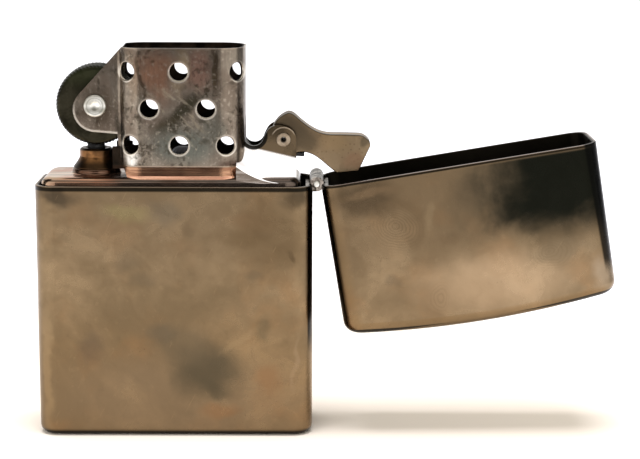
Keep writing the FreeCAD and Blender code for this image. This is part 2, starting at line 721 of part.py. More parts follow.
def tank_fill(z0, z1, bores):
    """A block of soft filling that just clears the tank's wall, pierced for tube and wick."""
    clear = INSERT_WALL + 0.05
    block = rounded_plan(
        INSERT_LEFT + clear, INSERT_RIGHT - clear, INSERT_HALF_DEPTH - clear,
        PLAN_RADIUS - SHELL_WALL - clear, z0, z1,
    )
    return block.cut([post(r, x, z0 - 1, z1 + 1) for r, x in bores])


def cotton_packing():
    """Five wads of absorbent packing, stacked in the tank."""
    wads = 5
    z0 = INSERT_BOTTOM + 4.0
    pitch = (DECK_Z - INSERT_WALL - 0.1 - z0) / wads
    bores = [(TUBE_RADIUS + 0.05, TUBE_X), (WICK_RADIUS + 0.35, WICK_X)]
    stack = []
    for i in range(wads):
        wad = tank_fill(z0 + i * pitch, z0 + (i + 1) * pitch - 0.15, bores)
        rims = [e for e in wad.Edges if e.BoundBox.ZLength < 1e-6 and e.Length > 2
                and abs(e.BoundBox.YMax) > 2.5]
        stack.append(wad.makeFillet(0.8, rims))
    return Part.makeCompound(stack)


def felt_pad():
    return tank_fill(INSERT_BOTTOM + 1.0, INSERT_BOTTOM + 3.8, [(TUBE_RADIUS + 0.9, TUBE_X)])


# ---- write --------------------------------------------------------------------------------------
NODES = {
    "case_body": case_body,
    "lid_shell": lid_shell,
    "hinge_leaf_case": hinge_leaf_case,
    "hinge_leaf_lid": hinge_leaf_lid,
    "hinge_pin": hinge_pin,
    "insert_tank": insert_tank,
    "chimney": chimney,
    "flint_wheel": flint_wheel,
    "wheel_rivet": wheel_rivet,
    "flint_tube": flint_tube,
    "flint": flint,
    "flint_spring": flint_spring,
    "flint_spring_tip": flint_spring_tip,
    "flint_screw": flint_screw,
    "cam_lever": cam_lever,
    "cam_lug_front": lambda: cam_lug(-1),
    "cam_lug_rear": lambda: cam_lug(1),
    "cam_rivet": cam_rivet,
    "cam_spring": cam_spring,
    "wick": wick,
    "wick_wire": wick_wire,
    "cotton_packing": cotton_packing,
    "felt_pad": felt_pad,
}


def main():
    os.makedirs("parts", exist_ok=True)
    for name, make in NODES.items():
        shape = make()
        shape.exportStep(f"parts/{name}.step")
        print(f"{name:20s} solids {len(shape.Solids)} valid {shape.isValid()} volume {shape.Volume:9.2f}")


main()
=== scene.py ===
"""Looks of the flip-top petrol lighter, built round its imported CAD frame. Metres throughout."""
import math
import random

import bmesh
import bpy
from mathutils import Matrix, Vector, noise


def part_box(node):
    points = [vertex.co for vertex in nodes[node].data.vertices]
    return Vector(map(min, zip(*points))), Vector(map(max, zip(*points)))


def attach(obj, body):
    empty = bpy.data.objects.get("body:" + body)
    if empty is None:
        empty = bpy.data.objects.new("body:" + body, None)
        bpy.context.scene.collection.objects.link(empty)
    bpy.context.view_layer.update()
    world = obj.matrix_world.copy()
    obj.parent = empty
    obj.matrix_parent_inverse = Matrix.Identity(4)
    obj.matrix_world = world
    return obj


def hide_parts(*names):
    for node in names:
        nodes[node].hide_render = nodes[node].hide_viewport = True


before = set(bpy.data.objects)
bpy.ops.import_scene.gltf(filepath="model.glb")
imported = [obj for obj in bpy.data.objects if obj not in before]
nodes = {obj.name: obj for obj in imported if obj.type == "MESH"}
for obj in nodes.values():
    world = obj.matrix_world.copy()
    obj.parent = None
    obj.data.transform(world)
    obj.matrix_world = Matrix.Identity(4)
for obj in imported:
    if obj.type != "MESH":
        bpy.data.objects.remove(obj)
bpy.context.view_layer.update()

MM = 0.001


def at(x, z, y=-6.5):
    """A place given in millimetres, on the front face unless y says otherwise."""
    return (x * MM, y * MM, z * MM)


def size(x, z, y=3.5):
    """Half-sizes of a spot, given in millimetres."""
    return (x * MM, y * MM, z * MM)


# Heights and places in millimetres, y of the back face and of the chimney's front sheet.
RIM_Z, DECK_Z, CHIMNEY_FOOT_Z, CHIMNEY_TOP_Z = 35.2, 36.2, 37.6, 53.85
BACK, SHEET = 6.5, -4.95
WHEEL_X, WHEEL_Z, EAR_Z = -10.72, 45.8, 45.25
CAM_X, CAM_Z = 15.02, 41.12
WHEEL_AXLE, CAM_AXLE = at(WHEEL_X, WHEEL_Z, 0.0), at(CAM_X, CAM_Z, 0.0)

# The lid leans by this much from the level, and is measured along and down from its hinge.
LEAN = math.radians(9.5)
LID_HINGE = at(19.6, RIM_Z, 0.0)
LID_RUN = (math.cos(LEAN), 0.0, math.sin(LEAN))
LID_DOWN = (math.sin(LEAN), 0.0, -math.cos(LEAN))
LID_MIDDLE, LID_DEPTH = 19.6 * MM, 22.0 * MM

# Half-plans and corner radii of the drawn shells, and of the chimney.
CASE_HALF, CORNER = (19.05 * MM, 6.5 * MM), 2.7 * MM
CHIMNEY_MIDDLE, CHIMNEY_HALF, CHIMNEY_CORNER = 1.1 * MM, (8.7 * MM, 4.95 * MM), 3.45 * MM

# Draught holes: each row's height over the deck, then every hole's x and how far the bend narrows it.
DRAUGHT_HOLES = (
    (14.45, ((-6.35, 0.78), (0.85, 1.0), (8.85, 0.68))),
    (9.45, ((-3.2, 1.0), (4.52, 1.0))),
    (4.42, ((-5.95, 0.86), (0.85, 1.0), (7.25, 0.95))),
)

BLACK = (0.006, 0.006, 0.005)
SMUDGE = (0.10, 0.082, 0.056)
RUST = (0.30, 0.165, 0.085)
PALE = (0.36, 0.25, 0.145)
GREASE = (0.17, 0.125, 0.08)
REDDER = (1.12, 0.86, 0.66)

# Spots on a surface: centre, half-sizes, turn about Y, tone and strength. Later ones lie over earlier ones.
CASE_MARKS = (
    (at(0.0, 5.0), size(26.0, 9.0), 0.0, (0.27, 0.20, 0.14), 0.4),
    (at(0.0, 19.0), size(22.0, 7.0), 0.0, (0.19, 0.135, 0.08), 0.35),
    (at(4.4, 9.5), size(7.0, 5.4), 0.15, SMUDGE, 0.85),
    (at(0.8, 13.2), size(6.6, 3.8), 0.3, (0.165, 0.125, 0.082), 0.6),
    (at(-2.0, 15.0), size(2.8, 2.0), 0.2, (0.15, 0.12, 0.085), 0.45),
    (at(5.8, 6.6), size(2.6, 1.6), 0.3, SMUDGE, 0.5),
    (at(-15.8, 33.8), size(3.8, 1.9), 0.15, (0.03, 0.025, 0.02), 0.85),
    (at(16.9, 33.6), size(2.8, 1.8), -0.2, (0.035, 0.028, 0.02), 0.85),
    (at(-1.1, 31.6), size(3.2, 2.2), 0.2, (0.15, 0.13, 0.10), 0.7),
    (at(-4.0, 22.3), size(2.4, 1.4), 0.0, GREASE, 0.45),
    (at(-6.6, 25.0), size(2.6, 2.4), 0.0, GREASE, 0.55),
    (at(2.3, 29.2), size(1.2, 1.6), 0.0, (0.13, 0.085, 0.05), 0.5),
    (at(16.0, 25.3), size(0.6, 1.2), -0.4, (0.09, 0.06, 0.036), 0.8),
    (at(10.8, 22.7), size(2.2, 0.8), 0.1, GREASE, 0.45),
    (at(12.5, 15.6), size(1.6, 2.4), 0.0, (0.15, 0.12, 0.075), 0.5),
    (at(-11.6, 12.4), size(2.6, 3.4), 0.6, (0.17, 0.12, 0.08), 0.65),
    (at(11.0, 30.6), size(4.6, 1.9), 0.0, RUST, 0.55),
    (at(8.5, 28.0), size(5.0, 1.5), 0.12, (0.19, 0.12, 0.06), 0.75),
    (at(6.4, 3.6), size(3.6, 1.5), 0.0, RUST, 0.6),
    (at(12.9, 8.0), size(2.6, 3.2), 0.0, RUST, 0.55),
    (at(-17.4, 9.0), size(1.0, 13.0), 0.0, PALE, 0.7),
    (at(3.5, 24.6), size(6.0, 1.7), 0.12, PALE, 0.35),
    (at(9.2, 13.8), size(4.4, 0.8), -0.65, PALE, 0.35),
    (at(0.0, 31.0), size(24.0, 11.0), 0.0, (0.19, 0.13, 0.076), 0.6),
    (at(14.0, 28.5), size(7.5, 8.0), 0.0, (0.155, 0.10, 0.052), 0.72),
    (at(16.4, 10.5), size(0.5, 5.0), 0.05, (0.42, 0.30, 0.20), 0.3),
    (at(-6.5, 31.4), size(4.4, 1.8), 0.1, (0.27, 0.21, 0.10), 0.6),
    (at(-4.0, 12.0, BACK), size(6.0, 4.0), 0.4, SMUDGE, 0.6),
    (at(9.0, 24.0, BACK), size(5.0, 6.0), 0.0, GREASE, 0.6),
    (at(-12.0, 27.0, BACK), size(4.0, 3.0), -0.5, RUST, 0.5),
    (at(-16.4, 33.6, BACK), size(3.2, 1.9), 0.2, (0.03, 0.025, 0.02), 0.8),
    (at(16.0, 33.9, BACK), size(3.6, 1.7), -0.1, (0.035, 0.028, 0.02), 0.8),
    (at(1.0, 20.5, BACK), size(9.0, 2.2), -0.3, PALE, 0.55),
    (at(13.2, 7.4, BACK), size(3.6, 4.2), 0.0, RUST, 0.6),
    (at(3.4, 7.6, BACK), size(5.4, 3.6), 0.3, (0.13, 0.10, 0.066), 0.7),
    (at(-16.6, 9.0, BACK), size(1.4, 7.0), 0.0, PALE, 0.6),
    (at(19.0, 18.0, 1.0), size(2.0, 6.0, 4.0), 0.0, GREASE, 0.5),
    (at(-19.0, 14.0, -1.0), size(2.0, 8.0, 4.0), 0.0, SMUDGE, 0.5),
)
LID_MARKS = (
    (at(41.5, 35.0), size(5.2, 2.6), -0.16, (0.16, 0.115, 0.07), 0.7),
    (at(25.8, 33.6), size(6.4, 3.8), -0.1, (0.045, 0.034, 0.022), 0.9),
    (at(37.6, 28.4), size(2.6, 1.4), 0.0, (0.17, 0.11, 0.06), 0.45),
    (at(30.2, 22.2), size(1.4, 1.3), 0.0, GREASE, 0.4),
    (at(36.0, 19.4), size(2.2, 3.4), 0.0, (0.25, 0.165, 0.09), 0.75),
    (at(27.0, 34.2), size(5.0, 1.0), -0.16, (0.34, 0.22, 0.12), 0.5),
    (at(44.0, 22.2), size(13.0, 5.6), -0.1, (0.52, 0.36, 0.215), 0.75),
    (at(51.5, 29.6), size(7.0, 3.4), 0.1, (0.15, 0.105, 0.058), 0.8),
    (at(53.0, 26.8), size(5.5, 2.0), -0.1, (0.26, 0.19, 0.115), 0.6),
    (at(35.0, 31.0), size(0.7, 3.0), 0.25, (0.40, 0.29, 0.165), 0.6),
    (at(59.0, 23.5), size(2.2, 3.2), 0.1, (0.45, 0.34, 0.23), 0.7),
    (at(30.0, 24.0, BACK), size(7.0, 4.0), 0.3, SMUDGE, 0.6),
    (at(50.0, 30.0, BACK), size(6.0, 5.0), 0.0, GREASE, 0.6),
    (at(43.0, 23.0, BACK), size(11.0, 4.2), -0.1, (0.50, 0.35, 0.21), 0.6),
    (at(27.5, 33.4, BACK), size(4.8, 2.4), -0.1, (0.05, 0.038, 0.025), 0.75),
    (at(53.0, 38.0, BACK), size(6.5, 3.4), -0.16, (0.05, 0.044, 0.03), 0.8),
)
CHIMNEY_MARKS = (
    (at(-2.2, 50.2, SHEET), size(3.4, 4.6, 2.5), 0.0, (0.38, 0.20, 0.125), 0.85),
    (at(3.4, 50.8, SHEET), size(2.2, 3.4, 2.5), 0.0, (0.36, 0.205, 0.155), 0.75),
    (at(1.2, 51.0, SHEET), size(1.3, 5.0, 2.5), 0.0, (0.50, 0.38, 0.25), 0.7),
    (at(1.6, 45.6, SHEET), size(4.6, 1.4, 2.5), -0.72, (0.045, 0.044, 0.028), 0.92),
    (at(-1.0, 43.2, SHEET), size(3.0, 1.5, 2.5), -0.4, (0.07, 0.058, 0.035), 0.8),
    (at(1.4, 40.6, SHEET), size(6.2, 3.4, 2.5), 0.0, (0.165, 0.18, 0.155), 0.85),
    (at(5.6, 43.5, SHEET), size(2.2, 3.0, 2.5), 0.0, (0.15, 0.16, 0.135), 0.65),
    (at(5.7, 51.0, SHEET), size(0.75, 4.4, 2.5), 0.0, (0.09, 0.065, 0.04), 0.92),
    (at(-4.25, 49.5, SHEET), size(0.4, 6.5, 2.5), 0.0, (0.08, 0.055, 0.035), 0.75),
    (at(-5.3, 50.0, SHEET), size(0.9, 5.0, 2.5), 0.0, (0.27, 0.19, 0.13), 0.6),
    # Painted shade: a dark strip down the chimney's end beside the ears.
    (at(-7.2, 41.5, SHEET + 1.2), size(0.8, 5.0, 2.5), 0.0, (0.03, 0.025, 0.018), 0.9),
    # Painted highlight: a near-white spot low on the front sheet's left.
    (at(-5.5, 38.7, SHEET), size(1.4, 1.5, 2.5), 0.0, (1.0, 0.97, 0.9), 0.95),
    (at(-10.6, 45.2, -3.0), size(3.6, 3.6, 0.8), 0.0, (0.09, 0.065, 0.043), 0.85),
    (at(8.1, 37.9, SHEET + 0.5), size(1.8, 1.2, 2.5), 0.0, (0.10, 0.06, 0.045), 0.8),
    (at(-2.0, 45.0, -SHEET), size(4.0, 5.0, 2.5), 0.5, (0.10, 0.085, 0.055), 0.7),
    (at(3.0, 50.0, -SHEET), size(5.0, 4.0, 2.5), 0.0, (0.21, 0.12, 0.08), 0.7),
)
CAM_MARKS = (
    (at(15.4, 42.4, -1.55), size(4.2, 3.4), 0.0, (0.105, 0.078, 0.049), 0.9),
    (at(18.0, 40.8, -1.55), size(3.0, 2.8), 0.5, (0.135, 0.10, 0.062), 0.8),
    (at(21.8, 40.4, -1.55), size(2.6, 1.6), 0.1, (0.40, 0.27, 0.14), 0.5),
    (at(24.8, 38.2, -1.55), size(2.4, 1.6), 0.0, (0.30, 0.17, 0.10), 0.6),
    (at(26.5, 40.9, -1.55), size(0.9, 1.3), 0.6, (0.09, 0.075, 0.05), 0.6),
)
# Painted dark reflections at the lid's far end: where along and down the lid each one starts and is full,
# tone, strength.
LID_SHADOWS = (
    ((16.0, 27.0), (13.5, 7.0), (0.055, 0.048, 0.032), 0.75),
    ((20.5, 28.8), (12.0, 7.4), (0.009, 0.0098, 0.0068), 0.98),
)
# Fingerprints on the lid, boldest first: centre, pitch of the ridges, stretch, half-sizes and strength.
PRINTS = (
    (at(30.6, 29.6), 0.46 * MM, (1.0, 1.0, 1.15), size(4.8, 4.2), 0.5),
    (at(52.0, 26.2), 0.5 * MM, (1.0, 1.0, 1.3), size(4.2, 3.2), 0.2),
    (at(36.4, 19.6), 0.5 * MM, (1.1, 1.0, 0.9), size(1.8, 3.0), 0.2),
)


# ---- materials ------------------------------------------------------------------------------------
class Graph:
    """Short-hand for building one material's node tree, with the colour and roughness reached so far."""

    def __init__(self, name):
        self.material = bpy.data.materials.new(name)
        self.material.use_nodes = True
        self.tree = self.material.node_tree
        self.tree.nodes.clear()
        self.shader = self.add("ShaderNodeBsdfPrincipled")
        output = self.add("ShaderNodeOutputMaterial")
        self.link(self.shader.outputs[0], output.inputs[0])
        self.place = self.add("ShaderNodeTexCoord").outputs["Object"]
        self.ragged = self.frayed(260, 1.6 * MM)
        self.colour = self.rough = None

    def add(self, kind, **values):
        node = self.tree.nodes.new(kind)
        for key, value in values.items():
            setattr(node, key, value)
        return node

    def link(self, source, target):
        self.tree.links.new(source, target)

    def put(self, target, value):
        if isinstance(value, bpy.types.NodeSocket):
            self.link(value, target)
        elif hasattr(target.default_value, "__len__") and len(value) == 3:
            channels = len(target.default_value)
            target.default_value = tuple(value) + (1.0,) * (channels - 3)
        else:
            target.default_value = value

    def set(self, **values):
        """Sets inputs of the principled shader: spaces in their names are written as underscores."""
        for key, value in values.items():
            self.put(self.shader.inputs[key.replace("_", " ")], value)

    # -- numbers --
    def math(self, operation, a, b=0.0, clamp=False):
        node = self.add("ShaderNodeMath", operation=operation, use_clamp=clamp)
        self.put(node.inputs[0], a)
        self.put(node.inputs[1], b)
        return node.outputs[0]

    def times(self, first, *others):
        for other in others:
            first = self.math("MULTIPLY", first, other)
        return first

    def plus(self, a, b):
        return self.math("ADD", a, b)

    def minus(self, a, b):
        return self.math("SUBTRACT", a, b)

    def most(self, a, b):
        return self.math("MAXIMUM", a, b)

    def remap(self, value, low, high, to_low=0.0, to_high=1.0):
        node = self.add("ShaderNodeMapRange", interpolation_type="SMOOTHSTEP")
        self.put(node.inputs["Value"], value)
        for key, number in (("From Min", low), ("From Max", high), ("To Min", to_low), ("To Max", to_high)):
            self.put(node.inputs[key], number)
        return node.outputs["Result"]

    def ramp(self, value, low, high):
        """0 at low and 1 at high, both in millimetres."""
        return self.remap(value, low * MM, high * MM)

    def band(self, value, start, full, leave, end):
        """1 between full and leave, 0 below start and above end, all in millimetres."""
        return self.times(self.ramp(value, start, full), self.ramp(value, end, leave))

    # -- places --
    def mapped(self, scale=(1, 1, 1), offset=(0, 0, 0), turn=(0, 0, 0), vector=None):
        if any(turn):
            turned = self.add("ShaderNodeMapping")
            self.link(vector or self.place, turned.inputs["Vector"])
            turned.inputs["Rotation"].default_value = turn
            vector = turned.outputs[0]
        node = self.add("ShaderNodeMapping")
        self.link(vector or self.place, node.inputs["Vector"])
        node.inputs["Location"].default_value = offset
        node.inputs["Scale"].default_value = scale
        return node.outputs[0]

    def vector_math(self, operation, first, second=None, scale=None):
        node = self.add("ShaderNodeVectorMath", operation=operation)
        self.link(first, node.inputs[0])
        if second is not None:
            self.put(node.inputs[1], second)
        if scale is not None:
            node.inputs["Scale"].default_value = scale
        return node.outputs["Value" if operation in ("LENGTH", "DOT_PRODUCT") else "Vector"]

    def frayed(self, scale, reach):
        """The place, shaken by noise, so that what is drawn with it has ragged edges."""
        node = self.add("ShaderNodeTexNoise")
        self.link(self.place, node.inputs["Vector"])
        node.inputs["Scale"].default_value = scale
        node.inputs["Detail"].default_value = 5.0
        centred = self.vector_math("SUBTRACT", node.outputs["Color"], (0.5, 0.5, 0.5))
        shake = self.vector_math("SCALE", centred, scale=reach * 2)
        return self.vector_math("ADD", self.place, shake)

    def axis(self, name, vector=None):
        node = self.add("ShaderNodeSeparateXYZ")
        self.link(vector or self.place, node.inputs[0])
        return node.outputs[name]

    def along(self, direction, origin):
        """Distance from a point, measured along a direction."""
        return self.vector_math("DOT_PRODUCT", self.vector_math("SUBTRACT", self.place, origin), direction)

    def reach_from(self, centre):
        """Distance in the XZ plane from a centre."""
        return self.vector_math("LENGTH", self.mapped((1, 0, 1), (-centre[0], 0, -centre[2])))

    def spot(self, centre, extent, turn=0.0, smooth=False):
        """1 at a centre and falling softly to 0 at an ellipsoid, turned about Y, of the given half-sizes."""
        spin = self.add("ShaderNodeVectorRotate", rotation_type="Y_AXIS")
        self.link(self.place if smooth else self.ragged, spin.inputs["Vector"])
        spin.inputs["Center"].default_value = centre
        spin.inputs["Angle"].default_value = -turn
        scale = tuple(1 / s for s in extent)
        offset = tuple(-c / s for c, s in zip(centre, extent))
        reach = self.vector_math("LENGTH", self.mapped(scale, offset, vector=spin.outputs[0]))
        return self.remap(reach, 1.05, 0.3)

    def hollow(self, plan, half, corner, cap, skin=0.3 * MM):
        """1 inside a shell of rounded plan, deeper than its skin, and 0 on its outside."""
        reach = [self.minus(self.math("ABSOLUTE", v), s - corner) for v, s in zip(plan, half)]
        outside = [self.most(r, 0.0) for r in reach]
        squares = self.plus(*(self.times(o, o) for o in outside))
        inside = self.math("MINIMUM", self.most(*reach), 0.0)
        distance = self.minus(self.plus(self.math("SQRT", squares), inside), corner)
        return self.remap(self.most(distance, cap), -skin + 0.04 * MM, -skin - 0.04 * MM)

    # -- textures --
    def noise(self, scale, detail=4.0, vector=None, distortion=0.0):
        node = self.add("ShaderNodeTexNoise")
        self.link(vector or self.place, node.inputs["Vector"])
        node.inputs["Scale"].default_value = scale
        node.inputs["Detail"].default_value = detail
        node.inputs["Roughness"].default_value = 0.55
        node.inputs["Distortion"].default_value = distortion
        return node.outputs["Fac"]

    def streaks(self, scale, detail, turn=0.0):
        """Noise with a scale of its own along each axis, leaning at an angle about Y."""
        return self.noise(1.0, detail, self.mapped(scale, turn=(0, turn, 0)))

    def blotches(self, scale, detail, offset, low, high):
        """Noise from another part of the field, cut so that only its peaks show."""
        return self.remap(self.noise(scale, detail, self.mapped(offset=offset)), low, high)

    def hairs(self, across, length, turn):
        """Sparse hair-thin scratches leaning at an angle about Y."""
        return self.remap(self.streaks((across, across * 0.3, length), 2, turn), 0.70, 0.77)

    def dots(self, scale, low, high):
        """Round dots, one to a cell."""
        node = self.add("ShaderNodeTexVoronoi")
        self.link(self.place, node.inputs["Vector"])
        node.inputs["Scale"].default_value = scale
        return self.remap(node.outputs["Distance"], low, high)

    def rings(self, centre, pitch, stretch):
        """Soft concentric ridges about a centre, as a fingertip leaves."""
        drifted = self.frayed(170, 1.5 * MM)
        flat = self.mapped(stretch, tuple(-c * s for c, s in zip(centre, stretch)), vector=drifted)
        wave = self.math("SINE", self.times(self.vector_math("LENGTH", flat), 2 * math.pi / pitch))
        return self.remap(wave, -0.3, 0.9)

    def bump(self, height, strength, distance, normal=None):
        node = self.add("ShaderNodeBump")
        self.put(node.inputs["Height"], height)
        node.inputs["Strength"].default_value = strength
        node.inputs["Distance"].default_value = distance
        if normal:
            self.link(normal, node.inputs["Normal"])
        return node.outputs[0]

    # -- colour --
    def mix(self, factor, a, b, blend="MIX"):
        node = self.add("ShaderNodeMix", data_type="RGBA", blend_type=blend)
        self.put(node.inputs[0], factor)
        self.put(node.inputs[6], a)
        self.put(node.inputs[7], b)
        return node.outputs[2]

    def stain(self, mask, tone, strength=1.0):
        """Lays a tone over the colour so far, as strongly as the mask says."""
        self.colour = self.mix(self.times(mask, strength), self.colour, tone)

    def stain_spots(self, marks):
        for centre, extent, turn, tone, strength in marks:
            self.stain(self.spot(centre, extent, turn), tone, strength)

    def roughen(self, mask, amount):
        self.rough = self.plus(self.rough, self.times(mask, amount))

    def finished(self, tone=(1.0, 1.0, 1.0)):
        """Connects colour and roughness; the tone multiplies the whole colour."""
        self.set(Base_Color=self.mix(1.0, self.colour, tone, "MULTIPLY"), Roughness=self.rough)
        return self.material


def shaded(tone, factor):
    return tuple(channel * factor for channel in tone)


def handled_metal(name, light, dark, rough, marks=()):
    """Handled satin plating: cloudy tarnish, finger grease, fine grain, hair scratches and pitting."""
    g = Graph(name)
    cloud = g.remap(g.noise(70, 5, distortion=0.8), 0.34, 0.68)
    mottle = g.remap(g.noise(330, 5, distortion=1.2), 0.38, 0.68)
    grain = g.noise(2600, 3)
    g.colour = g.mix(cloud, dark, light)
    g.stain(mottle, dark, 0.32)
    g.stain(g.remap(g.noise(620, 4, distortion=0.6), 0.55, 0.75), shaded(dark, 0.72), 0.3)
    g.stain(g.blotches(900, 3, (0.9, 0.4, 0.2), 0.60, 0.74), shaded(light, 1.25), 0.22)
    warm = tuple(channel * factor for channel, factor in zip(light, REDDER))
    g.stain(g.blotches(120, 4, (0.3, 0.1, 0.7), 0.5, 0.72), warm, 0.35)
    g.stain(g.remap(grain, 0.3, 0.7, 0.0, 0.22), dark)
    g.rough = g.remap(cloud, 0, 1, rough + 0.06, rough - 0.03)
    g.roughen(mottle, 0.05)
    g.stain_spots(marks)
    hairs = g.most(g.hairs(5200, 330, 0.35), g.hairs(4300, 260, -0.5))
    g.stain(hairs, shaded(light, 1.35), 0.2)
    pits = g.times(g.dots(1300, 0.16, 0.04), g.remap(g.noise(150), 0.58, 0.72))
    g.stain(pits, shaded(dark, 0.35), 0.6)
    normal = g.bump(grain, 0.12, 0.006 * MM)
    normal = g.bump(mottle, 0.10, 0.03 * MM, normal)
    normal = g.bump(g.plus(pits, hairs), 0.25, -0.015 * MM, normal)
    g.set(Metallic=1.0, Normal=normal)
    return g


def case_skin():
    """Painted dark reflections under the rim, round the base and down the hinge corner, a painted highlight
    along the rim's top, and painted shade with a duller finish inside.
    """
    g = handled_metal("case_metal", (0.355, 0.24, 0.137), (0.236, 0.162, 0.093), 0.27, CASE_MARKS)
    x, y, z = g.axis("X"), g.axis("Y"), g.axis("Z")
    # Painted dark reflections: a line under the rim and one round the base; then a painted highlight along
    # the rim's top.
    g.stain(g.band(z, RIM_Z - 0.85, RIM_Z - 0.58, RIM_Z - 0.20, RIM_Z - 0.14), BLACK, 0.93)
    g.stain(g.band(z, 0.02, 0.2, 0.45, 1.05), BLACK, 0.95)
    g.stain(g.ramp(z, RIM_Z - 0.14, RIM_Z - 0.08), (0.55, 0.45, 0.38), 0.8)
    # Painted dark reflection down the front hinge corner.
    corner = g.times(g.ramp(y, -3.9, -4.5), g.ramp(x, 18.30, 18.48), g.ramp(z, 11.0, 15.0))
    g.stain(corner, BLACK, 0.92)
    # Painted shade inside, with a duller finish.
    deep = g.hollow((x, y), CASE_HALF, CORNER, g.times(z, -1.0))
    g.stain(deep, (0.06, 0.045, 0.032))
    g.roughen(deep, 0.15)
    return g.finished((0.68, 0.685, 0.645))


def lid_skin():
    """Fingerprinted; painted dark reflections at its far end, under the rim and down both corners; painted
    shade towards the rim and inside; a painted highlight along the rim.
    """
    g = handled_metal("lid_metal", (0.365, 0.252, 0.143), (0.262, 0.182, 0.103), 0.25, LID_MARKS)
    along, depth, y = g.along(LID_RUN, LID_HINGE), g.along(LID_DOWN, LID_HINGE), g.axis("Y")
    drift = g.noise(110, 4, distortion=0.4)
    right = g.plus(along, g.remap(drift, 0.3, 0.7, -2.2 * MM, 2.2 * MM))
    down = g.plus(depth, g.remap(drift, 0.3, 0.7, 1.2 * MM, -1.2 * MM))
    face = g.times(g.ramp(y, -3.4, -4.6), g.ramp(depth, 0.4, 0.9))
    # Painted shade: darker towards the rim, fading out by 17 mm down the lid.
    g.stain(g.ramp(down, 17.0, 8.0), (0.165, 0.108, 0.058), 0.5)
    # Painted dark reflections at the far end, on the front face.
    for starts, ends, tone, strength in LID_SHADOWS:
        g.stain(g.times(g.ramp(right, *starts), g.ramp(down, *ends), face), tone, strength)
    for centre, pitch, stretch, extent, strength in PRINTS:
        lines = g.times(g.rings(centre, pitch, stretch), g.spot(centre, extent, smooth=True))
        g.stain(lines, (0.17, 0.115, 0.062), strength)
    bold = PRINTS[0][0]
    halo = g.band(g.reach_from(bold), 2.3, 3.1, 3.5, 4.5)
    upper_right = g.ramp(g.along((0.8, 0.0, 0.6), bold), -2.5, 2.5)
    g.stain(g.times(halo, upper_right), (0.17, 0.112, 0.06), 0.5)
    # Painted dark reflection under the rim, and a painted highlight along the rim's edge.
    g.stain(g.band(depth, 0.27, 0.32, 0.5, 0.62), BLACK, 0.9)
    g.stain(g.ramp(depth, 0.27, 0.22), (0.62, 0.5, 0.47), 0.85)
    # Painted dark reflections down the front corners at both ends.
    near_end = g.ramp(along, 1.2, 1.08)
    taper = g.minus(along, g.times(depth, 0.035))
    far_end = g.times(g.ramp(taper, 36.5, 36.85), g.ramp(depth, 18.7, 16.2))
    g.stain(g.times(g.ramp(y, -3.9, -4.5), g.most(near_end, far_end)), BLACK, 0.9)
    # Painted shade inside, with a duller finish.
    deep = g.hollow((g.minus(along, LID_MIDDLE), y), CASE_HALF, CORNER, g.minus(depth, LID_DEPTH))
    g.stain(deep, (0.048, 0.040, 0.030))
    g.roughen(deep, 0.12)
    return g.finished((0.62, 0.62, 0.60))


def deck_skin():
    """Polished, tarnished to copper and brown along the way it was wiped, with painted shade on its
    shoulder, where it goes down into the case and round the flint tube's foot.
    """
    g = Graph("insert_metal")
    x, z = g.axis("X"), g.axis("Z")
    cloud = g.remap(g.noise(140, 4, distortion=0.7), 0.38, 0.62)
    streak = g.remap(g.streaks((60, 900, 1500), 5), 0.36, 0.64)
    fine = g.remap(g.streaks((180, 4200, 5200), 3), 0.52, 0.7)
    copper = g.mix(cloud, (1.0, 0.49, 0.31), (1.0, 0.74, 0.53))
    silver = g.mix(cloud, (0.22, 0.15, 0.115), (0.36, 0.28, 0.235))
    g.colour = g.mix(g.ramp(x, -6.0, -11.0), silver, copper)
    g.stain(streak, (0.17, 0.095, 0.065), 0.55)
    g.stain(fine, (0.62, 0.5, 0.42), 0.4)
    # Painted shade: a dark line on the shoulder below the deck, and darker still where the tank goes down
    # into the case.
    g.stain(g.band(z, DECK_Z - 0.58, DECK_Z - 0.46, DECK_Z - 0.38, DECK_Z - 0.27), (0.04, 0.03, 0.022), 0.75)
    g.stain(g.ramp(z, DECK_Z - 0.9, DECK_Z - 1.3), (0.03, 0.022, 0.018), 0.85)
    # Painted shade round the flint tube's foot.
    tube_foot_shade = g.times(g.ramp(z, DECK_Z + 0.02, DECK_Z + 0.14), g.ramp(x, -7.6, -8.0))
    g.stain(tube_foot_shade, (0.06, 0.032, 0.02), 0.8)
    g.stain(g.ramp(x, 2.5, 9.0), (0.20, 0.18, 0.165), 0.45)
    g.rough = g.remap(cloud, 0, 1, 0.26, 0.16)
    normal = g.bump(streak, 0.15, 0.02 * MM)
    g.set(Metallic=1.0, Normal=g.bump(fine, 0.12, 0.01 * MM, normal))
    return g.finished((0.66, 0.64, 0.61))


def hole_rim_highlights(g):
    """Painted highlight round every draught hole, brightest below it."""
    rim_highlight = 0.0
    for rise, holes in DRAUGHT_HOLES:
        for x, squeeze in holes:
            flat = g.mapped((1 / squeeze, 0, 1), (-x / squeeze * MM, 0, -(DECK_Z + rise) * MM))
            ring = g.ramp(g.vector_math("LENGTH", flat), 1.62, 1.36)
            low = g.remap(g.axis("Z", flat), 0.9 * MM, -0.7 * MM, 0.35, 0.95)
            rim_highlight = g.most(rim_highlight, g.times(ring, low))
    return rim_highlight


